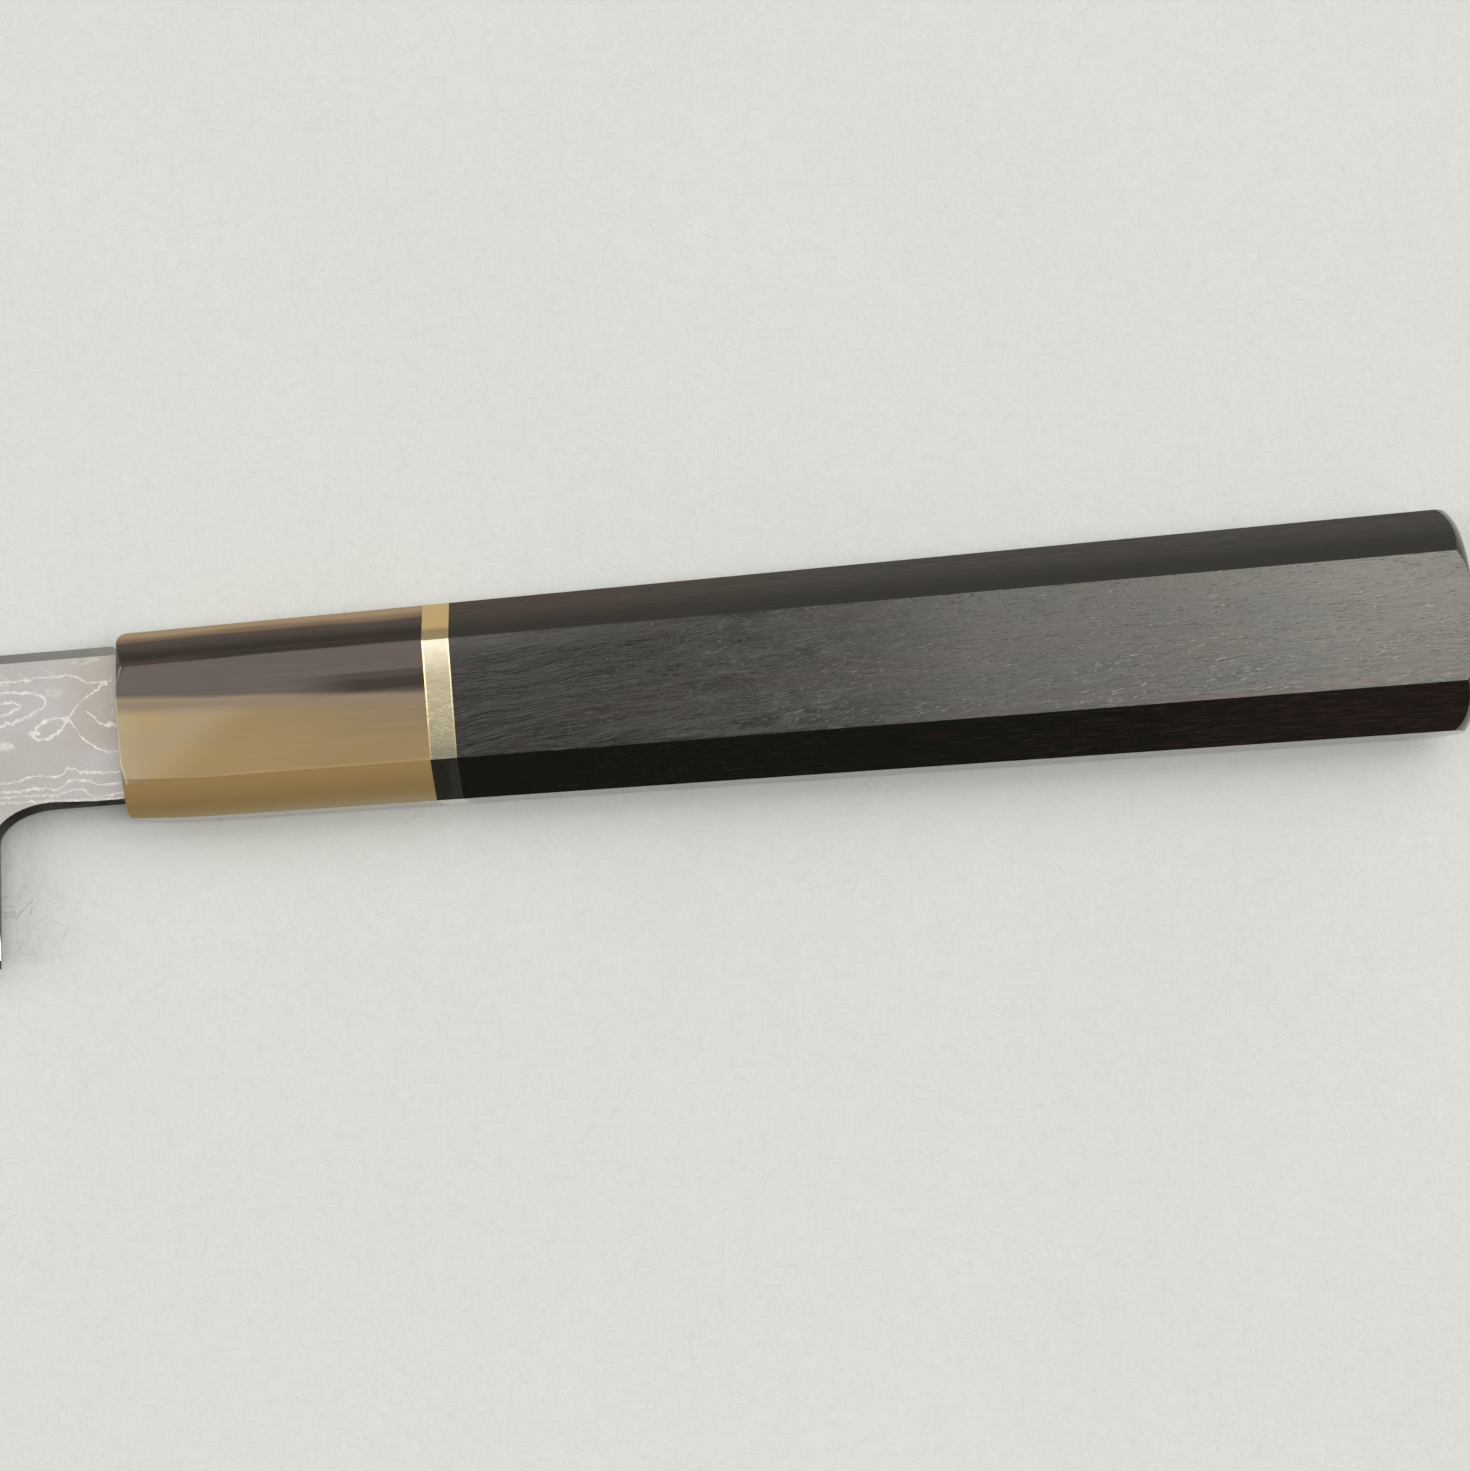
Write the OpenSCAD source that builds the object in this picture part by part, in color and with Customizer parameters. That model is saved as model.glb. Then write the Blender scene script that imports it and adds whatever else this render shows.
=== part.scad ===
// Slicing knife: a laminated blade with a hidden tang in an eight-sided handle.
// Millimetres. The origin is the centre of the ferrule's front face, on the handle's axis.
// +X runs back to the butt, -X to the tip, +Y to the spine, and +Z out of the knife's left side.

/* [Blade] */
// Length of the edge, from the heel to the tip
blade_len = 240; // [210:1:300]
// Height of the blade at the heel
heel_height = 33; // [29:0.5:38]
// Height of the spine above the handle's axis
spine_rise = 9; // [8:0.1:10]
// How far the spine drops towards the tip
tip_drop = 9.5; // [6:0.5:13]
// Thickness of the spine at the handle
spine_thick = 2.8; // [2.4:0.1:3.4]
// Thickness of the spine near the tip
tip_thick = 1.3; // [1:0.1:1.8]
// Width of the bevel along both sides of the spine
spine_bevel = 1; // [0.6:0.1:1.3]
// Thickness of the hard core layer at the handle
core_thick = 1; // [0.7:0.05:1.2]
// Width of the sharpened bevel along the edge
edge_bevel = 0.9; // [0.5:0.1:1.4]

/* [Neck and choil] */
// Length of the neck, from the ferrule to the heel's back line
neck_len = 14.6; // [12:0.1:18]
// Height of the neck below the handle's axis
neck_drop = 7.7; // [7:0.1:8.5]
// Length of the choil's rounded corner, along the neck
choil_length = 6.2; // [4.5:0.1:7]
// Height of the choil's rounded corner
choil_height = 3.6; // [2.8:0.1:4.5]
// Width of the bevel round the choil, at the heel
choil_bevel = 1.4; // [0.7:0.05:1.4]
// Width of that bevel under the neck, at the ferrule
neck_bevel = 0.7; // [0.3:0.05:0.8]
// Forward lean of the heel's back line, in degrees
heel_lean = 3.5; // [0:0.5:8]

/* [Tang] */
// Length of the tang inside the handle
tang_len = 96; // [80:1:104]
// Height of the tang at the ferrule
tang_height = 10; // [8.5:0.5:10.5]
// How far the dowel runs past the tang
dowel_past_tang = 12; // [8:0.5:18]
// Bore through ferrule and ring, and into the grip
bore_dia = 13; // [12:0.1:13.4]

/* [Handle] */
// Length of the whole handle
handle_len = 141.6; // [136:0.2:150]
// Length of the horn ferrule
ferrule_len = 32.2; // [28:0.2:36]
// Thickness of the spacer ring
ring_len = 2.8; // [2:0.2:5]
// Height of the handle at the front, from its spine side to its edge side
front_height = 19.65; // [19.2:0.05:21]
// Thickness of the handle at the front
front_thick = 17; // [16.6:0.1:18]
// Width of the broad flats at the front
front_flat = 12.05; // [11:0.05:13]
// Height of the handle at the butt
butt_height = 23.15; // [22:0.05:25]
// Thickness of the handle at the butt
butt_thick = 20.4; // [19.5:0.1:22]
// Width of the broad flats at the butt
butt_flat = 13.4; // [12.5:0.1:14.5]
// Radius of the ferrule's front edge on the spine's and the edge's side
front_round = 1.1; // [0.7:0.1:1.6]
// Radius at the front that rounds the broad flats' corners on the spine's side
spine_corner_round = 2.2; // [1.2:0.1:2.6]
// Radius at the front that rounds the broad flats' corners on the edge's side
edge_corner_round = 1.5; // [1.2:0.1:2.6]
// Depth that is sanded off the ferrule's front on the edge's side
front_relief = 0.5; // [0.2:0.05:0.8]
// Length over which that depth runs out
relief_len = 14; // [8:1:20]
// Radius that rounds the butt's edge
butt_round = 3.6; // [2.6:0.1:4.2]
// Radius of the shallow dome on the butt
butt_dome = 42; // [34:1:60]

/* [Show] */
// Node to draw

/* [Hidden] */
$fn = 96;
big = 400;

// Clearances
shoulder_gap = 0.3;
glue_gap = 0.1;
bedding_gap = 0.4;

// Ferrule wall in front of its bore, and the dowel's solid end
mouth_wall = 6;
dowel_solid = 4;
bore_point = 1.5;

// Lines of the blade in side view, as shares of its length and powers of them
stations = 42;
spine_straight = 0.3;
spine_power = 2.3;
belly_share = 0.4;
belly_power = 2.2;
sweep_power = 7;
tip_height = 0.5;

// Section of the blade. The grind is fuller near the handle, and thinner where the blade is low
side_points = 5;
side_power = 1.3;
neck_fullness = 0.9;
neck_reach = 40;
thin_height = 4;
bevel_room = 4;
edge_half = 0.16;
edge_half_share = 0.6;
spine_flat_share = 0.35;
core_tip_share = 0.42;

// Neck, choil and tang
shoulder_bevel = 0.9;
choil_steps = 14;
bevel_start = spine_thick * 0.1;
bevel_reach = 1.5;
tang_share = 0.78;
tang_end_share = 0.6;

// Rounding of the ferrule's front edge on the broad flats and the corner flats
rim_round = 0.3;
arris_round = 1.1;
corner_slack = 0.15;
arris_slack = 0.25;
butt_slack = 0.1;

// Places and sizes that follow from those
tang_thick = spine_thick * tang_share;
heel_y = spine_rise - heel_height;
choil_y = -neck_drop - choil_height;
heel_at = neck_len + (choil_y - heel_y) * tan(heel_lean);
tip_at = heel_at + blade_len;
choil_turn = atan2(choil_length * cos(heel_lean), choil_height * sin(heel_lean));
choil_x = -neck_len + choil_length * sin(choil_turn) + choil_height * cos(choil_turn) * tan(heel_lean);
dowel_end = tang_len + dowel_past_tang;
slot_end = dowel_end - dowel_solid;
slot_thick = tang_thick + 2 * bedding_gap;
slot_height = tang_height + 2 * bedding_gap;

// Thickness of the handle across its corner flats, at the front and at the butt
front_corner = (front_flat + front_thick) / sqrt(2);
butt_corner = (butt_flat + butt_thick) / sqrt(2);

steel = [0.72, 0.71, 0.69];
damask = [0.60, 0.57, 0.55];
horn = [0.62, 0.50, 0.32];
brass = [0.80, 0.68, 0.42];
ebony = [0.13, 0.12, 0.11];
pale_wood = [0.78, 0.66, 0.47];
resin = [0.55, 0.42, 0.22];

// Height of the spine line at a distance ahead of the ferrule
function spine_y(d) =
    spine_rise - tip_drop * pow(max(0, d / tip_at - spine_straight) / (1 - spine_straight), spine_power);

// Share of the blade's length that a distance ahead of the ferrule stands for
function edge_share(d) = max(0, (d - heel_at) / blade_len);

// Height of the edge line: a long flat belly that sweeps up to the tip
function edge_lift(s) = belly_share * pow(s, belly_power) + (1 - belly_share) * pow(s, sweep_power);
function edge_y(d) = heel_y + (heel_height - tip_drop - tip_height) * edge_lift(edge_share(d));

// Half the blade's thickness below the spine's bevel, thinner to the tip and where the blade is low
function side_half(d) =
    (spine_thick + (tip_thick - spine_thick) * d / tip_at) / 2
    * (1 - exp(-(spine_y(d) - edge_y(d)) / thin_height));

// One side of a blade section, from the spine down to the edge, as height and half thickness
function half_section(d) =
    let (
        top = spine_y(d),
        low = edge_y(d),
        shrink = min(1, (top - low) / (bevel_room * (spine_bevel + edge_bevel))),
        z_side = side_half(d),
        z_edge = min(edge_half, z_side * edge_half_share),
        y_side = top - spine_bevel * shrink,
        y_edge = low + edge_bevel * shrink,
        power = side_power + neck_fullness * exp(-d / neck_reach)
    )
    concat(
        [[top, z_side * spine_flat_share]],
        [
            for (i = [0:side_points])
                let (s = i / side_points)
                [y_side + (y_edge - y_side) * s, z_edge + (z_side - z_edge) * (1 - pow(s, power))]
        ]
    );

// A whole section as a ring of points: down the left side, the edge, then up the right side
function section_ring(d) =
    let (half = half_section(d), n = len(half))
    concat(
        [for (p = half) [-d, p[0], p[1]]],
        [[-d, edge_y(d), 0]],
        [for (i = [n - 1:-1:0]) [-d, half[i][0], -half[i][1]]]
    );

// Distance ahead of the ferrule of a station, closer together towards the tip
function station(i) = shoulder_gap + (tip_at - shoulder_gap) * sin(90 * i / stations);

// The ground blade before the choil is cut, lofted through its sections
module blade_loft() {
    rings = [for (i = [0:stations]) section_ring(station(i))];
    n = len(rings[0]);
    points = [for (ring = rings) each ring];
    sides = [
        for (i = [0:stations - 1], j = [0:n - 1])
            let (a = i * n + j, b = i * n + (j + 1) % n)
            each [[a, b, a + n], [b, b + n, a + n]]
    ];
    near = [for (j = [n - 1:-1:0]) j];
    far = [for (j = [0:n - 1]) stations * n + j];
    polyhedron(points, concat(sides, [near, far]), convexity = 6);
}

// Place on the choil's corner, from the neck's underside round to the heel's back line
function choil_point(turn) = [choil_x - choil_length * sin(turn), choil_y + choil_height * cos(turn)];

// Direction from there into the steel
function choil_inward(turn) =
    let (v = [-choil_height * sin(turn), choil_length * cos(turn)])
    v / norm(v);

// The cut behind the heel, from the ferrule to below the edge: place, direction into the steel, bevel
choil_path = concat(
    [[[0, -neck_drop], [0, 1], neck_bevel]],
    [
        for (i = [0:choil_steps])
            let (turn = choil_turn * i / choil_steps, share = (1 + i / choil_steps) / 2)
            [choil_point(turn), choil_inward(turn), neck_bevel + (choil_bevel - neck_bevel) * share]
    ],
    [[
        choil_point(choil_turn) - heel_height * [sin(heel_lean), cos(heel_lean)],
        choil_inward(choil_turn),
        choil_bevel,
    ]]
);

// Outline of what is cut away behind the heel, grown into the steel by a share of the bevel
function choil_outline(share) = concat(
    [for (p = choil_path) p[0] + p[1] * p[2] * share],
    [[0, -big]]
);

// Bevel along the neck's underside and round the choil, on the left side
module choil_bevel_cut() {
    near = choil_outline(0);
    far = choil_outline(bevel_reach);
    z_far = bevel_start + (spine_thick / 2 - bevel_start) * bevel_reach;
    n = len(near);
    points = concat([for (p = near) [p[0], p[1], bevel_start]], [for (p = far) [p[0], p[1], z_far]]);
    sides = [
        for (i = [0:n - 1])
            let (j = (i + 1) % n)
            each [[i, i + n, j], [j, i + n, j + n]]
    ];
    near_face = [for (i = [0:n - 1]) i];
    far_face = [for (i = [n - 1:-1:0]) n + i];
    polyhedron(points, concat(sides, [near_face, far_face]), convexity = 6);
}

// Corner that is ground off the neck where the spine meets the ferrule
module shoulder_cut() {
    linear_extrude(big, center = true)
        polygon([
            [-shoulder_gap - shoulder_bevel, spine_rise],
            [-shoulder_gap, spine_rise - shoulder_bevel],
            [big, spine_rise - shoulder_bevel],
            [big, big],
            [-shoulder_gap - shoulder_bevel, big],
        ]);
}

// The tang: a tapered bar with a rounded end
module tang() {
    end_height = tang_height * tang_end_share;
    linear_extrude(tang_thick, center = true) {
        polygon([
            [-neck_len / 2, -tang_height / 2],
            [0, -tang_height / 2],
            [tang_len - end_height / 2, -end_height / 2],
            [tang_len - end_height / 2, end_height / 2],
            [0, tang_height / 2],
            [-neck_len / 2, tang_height / 2],
        ]);
        translate([tang_len - end_height / 2, 0])
            circle(end_height / 2);
    }
}

// The blade and tang as one forging, before it is parted into its layers
module forging() {
    difference() {
        blade_loft();
        linear_extrude(big, center = true)
            polygon(choil_outline(0));
        for (side = [0, 1])
            mirror([0, 0, side])
                choil_bevel_cut();
        shoulder_cut();
    }
    tang();
}

// The core layer's space, which thins towards the tip
module core_space() {
    half_near = core_thick / 2;
    half_tip = half_near * core_tip_share;
    rotate([90, 0, 0])
        linear_extrude(big, center = true)
            polygon([
                [-tip_at - 1, -half_tip],
                [0, -half_near],
                [tang_len + 1, -half_near],
                [tang_len + 1, half_near],
                [0, half_near],
                [-tip_at - 1, half_tip],
            ]);
}

module core_steel() {
    color(steel)
        intersection() {
            forging();
            core_space();
        }
}

// One cladding layer, on the left side of the blade
module cladding() {
    intersection() {
        difference() {
            forging();
            core_space();
        }
        translate([-big, -big / 2, 0])
            cube([2 * big, big, big]);
    }
}

module left_cladding() {
    color(damask)
        cladding();
}

module right_cladding() {
    color(damask)
        mirror([0, 0, 1])
            cladding();
}

// A size that grows evenly from the front of the handle to the butt
function along(front, butt, x) = front + (butt - front) * x / handle_len;

// A tapered slab about the XZ plane, as thick as the handle is at each place
module taper_slab(front, butt, x0, x1) {
    linear_extrude(big, center = true)
        polygon([
            [x0, -along(front, butt, x0) / 2],
            [x1, -along(front, butt, x1) / 2],
            [x1, along(front, butt, x1) / 2],
            [x0, along(front, butt, x0) / 2],
        ]);
}

// A stretch of the eight-sided taper
module octagon_bar(x0, x1) {
    intersection() {
        taper_slab(front_height, butt_height, x0, x1);
        rotate([90, 0, 0])
            taper_slab(front_thick, butt_thick, x0, x1);
        intersection_for(turn = [45, -45])
            rotate([turn, 0, 0])
                taper_slab(front_corner, butt_corner, x0, x1);
    }
}

// Outline above the axis of everything behind a rounded front corner
module corner_outline(half, round) {
    translate([round, half - round])
        circle(round);
    square([round, half - round]);
    translate([round, 0])
        square([big, big]);
}

// Everything behind a rounded front edge, on the two sides that face along and against a direction
module edge_rounding(turn, half, spine_round, edge_round) {
    rotate([turn, 0, 0])
        linear_extrude(big, center = true) {
            corner_outline(half, spine_round);
            mirror([0, 1])
                corner_outline(half, edge_round);
        }
}

// Everything above a shallow arc that takes a side down towards the front
module relief_arc(turn, thick) {
    radius = (pow(relief_len, 2) + pow(front_relief, 2)) / (2 * front_relief);
    rotate([turn, 0, 0])
        linear_extrude(big, center = true) {
            translate([relief_len, radius - thick / 2])
                circle(radius, $fn = 720);
            translate([relief_len, -big])
                square([big, 2 * big]);
        }
}

// The ferrule's front: sanded down on the edge's side, its corners well rounded, its broad flats crisp
module front_rounding() {
    side_z = (front_flat + front_thick - front_height) / 2;
    broad_corner = (front_flat * cos(67.5) + front_thick * sin(67.5)) / 2 + corner_slack;
    side_corner = front_height / 2 * cos(22.5) + side_z * sin(22.5) + arris_slack;
    intersection() {
        edge_rounding(0, front_height / 2, front_round, front_round);
        edge_rounding(90, front_thick / 2, rim_round, rim_round);
        intersection_for(turn = [45, -45])
            edge_rounding(turn, front_corner / 2, rim_round, rim_round);
        intersection_for(turn = [67.5, -67.5])
            edge_rounding(turn, broad_corner, spine_corner_round, edge_corner_round);
        intersection_for(turn = [22.5, -22.5])
            edge_rounding(turn, side_corner, arris_round, arris_round);
        relief_arc(0, along(front_height, butt_height, relief_len));
        intersection_for(turn = [45, -45])
            relief_arc(turn, along(front_corner, butt_corner, relief_len));
    }
}

// Radius of the circle through the corners of the handle's high sides
function corner_radius(height, flat, thick) = norm([height, thick - height + flat]) / 2;

// Solid of revolution about the handle's axis, from an outline in radius and X
module turned() {
    rotate([0, 90, 0])
        rotate_extrude()
            children();
}

// Everything ahead of the butt's dome and rounded edge
module butt_rounding() {
    centre_r = corner_radius(butt_height, butt_flat, butt_thick) + butt_slack - butt_round;
    dome_x = handle_len - butt_dome;
    centre_x = dome_x + sqrt(pow(butt_dome - butt_round, 2) - pow(centre_r, 2));
    touch_r = centre_r * butt_dome / (butt_dome - butt_round);
    turned() {
        intersection() {
            translate([0, dome_x])
                circle(butt_dome, $fn = 360);
            translate([0, centre_x])
                square([touch_r, big]);
        }
        translate([centre_r, centre_x])
            circle(butt_round);
        square([big, centre_x]);
    }
}

// A round rod along the handle's axis
module rod(x0, x1, dia) {
    translate([x0, 0, 0])
        rotate([0, 90, 0])
            cylinder(h = x1 - x0, d = dia);
}

module horn_ferrule() {
    color(horn)
        difference() {
            intersection() {
                octagon_bar(0, ferrule_len);
                front_rounding();
            }
            translate([-1, -slot_height / 2, -slot_thick / 2])
                cube([mouth_wall + 2, slot_height, slot_thick]);
            rod(mouth_wall, ferrule_len + 1, bore_dia);
        }
}

module brass_spacer_ring() {
    color(brass)
        difference() {
            octagon_bar(ferrule_len, ferrule_len + ring_len);
            rod(ferrule_len - 1, ferrule_len + ring_len + 1, bore_dia);
        }
}

module ebony_grip() {
    grip_at = ferrule_len + ring_len;
    bore_end = dowel_end + glue_gap;
    color(ebony)
        difference() {
            intersection() {
                octagon_bar(grip_at, handle_len);
                butt_rounding();
            }
            rod(grip_at - 1, bore_end, bore_dia);
            translate([bore_end, 0, 0])
                rotate([0, 90, 0])
                    cylinder(h = bore_point, d1 = bore_dia, d2 = bore_dia / 2);
        }
}

module tenon_dowel() {
    color(pale_wood)
        difference() {
            rod(mouth_wall, dowel_end, bore_dia - 2 * glue_gap);
            translate([mouth_wall - 1, -bore_dia, -slot_thick / 2])
                cube([slot_end - mouth_wall + 1, 2 * bore_dia, slot_thick]);
        }
}

module tang_bedding() {
    color(resin)
        difference() {
            translate([0, -slot_height / 2, -slot_thick / 2])
                cube([slot_end, slot_height, slot_thick]);
            tang();
        }
}

core_steel();
left_cladding();
right_cladding();
horn_ferrule();
brass_spacer_ring();
ebony_grip();
tenon_dowel();
tang_bedding();
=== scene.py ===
"""Looks of the slicing knife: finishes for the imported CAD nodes, pale paper, soft light and the camera.

Metres, in the CAD frame. The origin is the centre of the ferrule's front face, on the handle's axis.
+X runs to the butt, -X to the tip, +Y to the spine, and +Z out of the left side, to the camera.
Material nodes work in millimetres in the same frame. Colours are linear.

A range below is (from, to) or (from, to, level before, level after), as step() takes it, or (from, to,
softness), as window() takes it. A grain is the scale of a noise along X, Y and Z, per millimetre, and
where it has one, its shift."""

import bpy
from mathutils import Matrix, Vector

MM = 0.001
# Mean of a noise, least divisor, and the share of a stroke's half width that is full
NOISE_MEAN = 0.5
LEAST = 0.001
STROKE_CORE = 0.35
# Ranges of a noise in which one tone gives way to another, and one gloss to another
TONES = (0.35, 0.65)
WIDE_TONES = (0.3, 0.7)
GLOSSES = (0.3, 0.8)

# Camera: a long lens above the handle, rolled a little
LENS = 97.96
SENSOR = 36.0
CAMERA_AT = (0.07163, -0.031528, 0.419826)
CAMERA_TURN = (0.06149, 0.01917, -0.08094)

# Paper: it touches the handle's lower broad flat, which leans by this slope along X
PAPER_BELOW = 8.52 * MM
PAPER_SLOPE = 0.011972
PAPER_HALF = 3.0
PAPER_COLOUR = (0.652, 0.658, 0.620, 1)
PAPER_CLOUD = (0.636, 0.643, 0.606, 1)
PAPER_DARK = (0.530, 0.545, 0.520, 1)
PAPER_LIGHT = (0.76, 0.77, 0.73, 1)
PAPER_DEPTH = 0.16 * MM
# Paper fibres: directions in radians, grain, and ranges of the noise where pale and dark ones show
FIBRE_TURNS = (0.12, 1.5, 2.3)
FIBRE_GRAIN = (0.55, 2.2, 1)
FIBRE_PALE = (0.63, 0.72)
FIBRE_DARK = (0.37, 0.28)
# Crumpled patch behind the heel: centre, reach, core and ragged edge in millimetres
CRUMPLE_AT = (-15.5, -18, -8.4)
CRUMPLE_REACH = 11
CRUMPLE_CORE = 3
CRUMPLE_RAGGED = 6
# Strength of the fibres: what the crumpled patch adds as painted highlight and shade of its creases, and
# everywhere
PALE_STRENGTH = (0.42, 0.17)
DARK_STRENGTH = (0.32, 0.12)
# Height of dark fibres, and how far the soft clouds show
DARK_HEIGHT = -0.8
PAPER_SOFT = (0.3, 0.7, 0, 0.12)


class Nodes:
    """Adds nodes to one node tree. Each call returns the new node's output socket."""

    def __init__(self, tree):
        self.tree = tree

    def add(self, kind, inputs=None, output=0, **settings):
        node = self.tree.nodes.new(kind)
        for name, value in settings.items():
            setattr(node, name, value)
        for name, value in (inputs or {}).items():
            self.feed(node.inputs[name], value)
        return node.outputs[output]

    def feed(self, socket, value):
        if isinstance(value, bpy.types.NodeSocket):
            self.tree.links.new(value, socket)
        else:
            socket.default_value = value

    def math(self, operation, a, b=0.0, c=0.0, clamp=False):
        return self.add("ShaderNodeMath", {0: a, 1: b, 2: c}, operation=operation, use_clamp=clamp)

    def place(self):
        """Position on the object, in millimetres of the CAD frame."""
        metres = self.add("ShaderNodeTexCoord", output="Object")
        return self.add("ShaderNodeVectorMath", {0: metres, 3: 1 / MM}, operation="SCALE")

    def parts(self, vector):
        node = self.tree.nodes.new("ShaderNodeSeparateXYZ")
        self.feed(node.inputs[0], vector)
        return node.outputs

    def stretched(self, vector, scale, shift=(0, 0, 0)):
        return self.add("ShaderNodeMapping", {"Vector": vector, "Scale": scale, "Location": shift})

    def noise(self, vector, scale=1.0, detail=2.0, roughness=0.5, distortion=0.0):
        inputs = {
            "Vector": vector,
            "Scale": scale,
            "Detail": detail,
            "Roughness": roughness,
            "Distortion": distortion,
        }
        return self.add("ShaderNodeTexNoise", inputs)

    def swing(self, noise, reach):
        """A noise moved to lie about 0, times a reach."""
        return self.math("MULTIPLY", self.math("SUBTRACT", noise, NOISE_MEAN), reach)

    def step(self, value, low, high, to_low=0.0, to_high=1.0):
        """A smooth step between two values."""
        inputs = {"Value": value, "From Min": low, "From Max": high, "To Min": to_low, "To Max": to_high}
        return self.add("ShaderNodeMapRange", inputs, interpolation_type="SMOOTHSTEP")

    def curve(self, value, stops):
        """A smooth line through (value, level) stops, with its ends held."""
        low, high = stops[0][0], stops[-1][0]
        bottom = min(level for _, level in stops)
        top = max(level for _, level in stops)
        share = self.math("DIVIDE", self.math("SUBTRACT", value, low), high - low, clamp=True)
        node = self.tree.nodes.new("ShaderNodeFloatCurve")
        self.feed(node.inputs["Value"], share)
        line = node.mapping.curves[0]
        while len(line.points) < len(stops):
            line.points.new(0.5, 0.5)
        for point, (at, level) in zip(line.points, stops):
            point.location = ((at - low) / (high - low), (level - bottom) / (top - bottom))
        node.mapping.update()
        return self.math("MULTIPLY_ADD", node.outputs[0], top - bottom, bottom)

    def window(self, value, low, high, soft):
        """1 between two values, falling to 0 over a soft width inside each."""
        opened = self.step(value, low, low + soft)
        closed = self.step(value, high - soft, high, 1, 0)
        return self.math("MULTIPLY", opened, closed)

    def stroke(self, offset, half_width):
        """1 on a line, where its offset is 0, fading out at half its width."""
        return self.step(self.math("ABSOLUTE", offset), half_width * STROKE_CORE, half_width, 1, 0)

    def oval_offset(self, vector, centre, radii, turn=0.0):
        """How far a place lies outside an oval, in the vector's own unit."""
        placed = {"Vector": vector, "Location": (*centre, 0), "Rotation": (0, 0, turn)}
        moved = self.add("ShaderNodeMapping", placed, vector_type="TEXTURE")
        shrink = (1 / radii[0], 1 / radii[1], 0)
        flat = self.add("ShaderNodeVectorMath", {0: moved, 1: shrink}, operation="MULTIPLY")
        steep = self.add("ShaderNodeVectorMath", {0: flat, 1: shrink}, operation="MULTIPLY")
        reach = self.add("ShaderNodeVectorMath", {0: flat}, output=1, operation="LENGTH")
        slope = self.add("ShaderNodeVectorMath", {0: steep}, output=1, operation="LENGTH")
        outside = self.math("MULTIPLY", self.math("SUBTRACT", reach, 1.0), reach)
        return self.math("DIVIDE", outside, self.math("MAXIMUM", slope, LEAST))

    def most(self, masks):
        """The greatest of several masks."""
        total = masks[0]
        for mask in masks[1:]:
            total = self.math("MAXIMUM", total, mask)
        return total

    def mix(self, factor, a, b):
        """Colour a where the factor is 0, and b where it is 1."""
        node = self.tree.nodes.new("ShaderNodeMix")
        node.data_type = "RGBA"
        self.feed(node.inputs[0], factor)
        self.feed(node.inputs[6], a)
        self.feed(node.inputs[7], b)
        return node.outputs[2]

    def ramp(self, value, stops):
        """Colours along a value, from (value, colour) stops."""
        low, high = stops[0][0], stops[-1][0]
        share = self.math("DIVIDE", self.math("SUBTRACT", value, low), high - low, clamp=True)
        node = self.tree.nodes.new("ShaderNodeValToRGB")
        self.feed(node.inputs[0], share)
        elements = node.color_ramp.elements
        while len(elements) < len(stops):
            elements.new(0.5)
        for element, (at, colour) in zip(elements, stops):
            element.position = (at - low) / (high - low)
            element.color = (*colour, 1)
        return node.outputs[0]

    def bump(self, height, distance):
        """A normal for a surface as uneven as the height, over a distance in metres."""
        return self.add("ShaderNodeBump", {"Height": height, "Distance": distance, "Strength": 1.0})


def material(name):
    """A new material, its node tree, and its Principled shader."""
    made = bpy.data.materials.new(name)
    made.use_nodes = True
    nodes = Nodes(made.node_tree)
    shader = made.node_tree.nodes["Principled BSDF"]
    return made, nodes, shader


def dress(nodes, shader, **inputs):
    """Feeds the shader's inputs by name, with _ for a space."""
    for name, value in inputs.items():
        nodes.feed(shader.inputs[name.replace("_", " ")], value)


# Lines of the layer pattern on the left side of the neck, as (x, y) stops in millimetres
NECK_LINES = (
    ((-15.5, 6.1), (-13.2, 6.08), (-10.7, 6.05), (-8.5, 6.29), (-5.9, 6.2), (-3.8, 5.32), (-2, 5.2)),
    (
        (-6.5, 1.8),
        (-6.1, 1.3),
        (-5.6, 0.74),
        (-5.2, -0.1),
        (-4.2, -1.06),
        (-3.3, -1.73),
        (-2.3, -2.15),
        (-1.2, -2),
    ),
    ((-6.4, 1.64), (-5.7, 2.4), (-4.6, 3.52), (-3.2, 4.42), (-2, 5.3)),
    ((-4.3, 2.25), (-3.5, 1.58), (-2.9, 0.85), (-1.9, 0.77), (-1.2, 0.47)),
    (
        (-15.5, -4.6),
        (-12.3, -4.55),
        (-11.2, -4.21),
        (-9.5, -4.09),
        (-8.5, -4.34),
        (-7.1, -3.95),
        (-6.6, -3.57),
        (-5.5, -4),
        (-3.8, -4.22),
        (-0.3, -4.33),
    ),
    (
        (-15.5, -5.5),
        (-12.3, -5.55),
        (-9.9, -5.41),
        (-8.1, -5.64),
        (-7.2, -5.29),
        (-6.4, -4.85),
        (-4.7, -4.99),
        (-3, -5.55),
        (-0.3, -5.4),
    ),
    (
        (-15.5, -6.1),
        (-11.5, -6.12),
        (-8.1, -6.23),
        (-6.8, -5.92),
        (-5.8, -5.83),
        (-4.8, -6.25),
        (-3.6, -6.76),
        (-2.3, -6.62),
        (-0.3, -6.5),
    ),
    ((-15.5, -6.55), (-10.7, -6.78), (-7.3, -6.88), (-0.3, -7.2)),
)
# Closed lines there: centre, radii, and turn in radians
NECK_OVALS = (
    ((-17, 2.75), (8.5, 1.9), 0.125),
    ((-17, 2.75), (5.7, 0.85), 0.125),
    ((-8.4, 0.8), (1.85, 0.85), 0.42),
)
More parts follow.
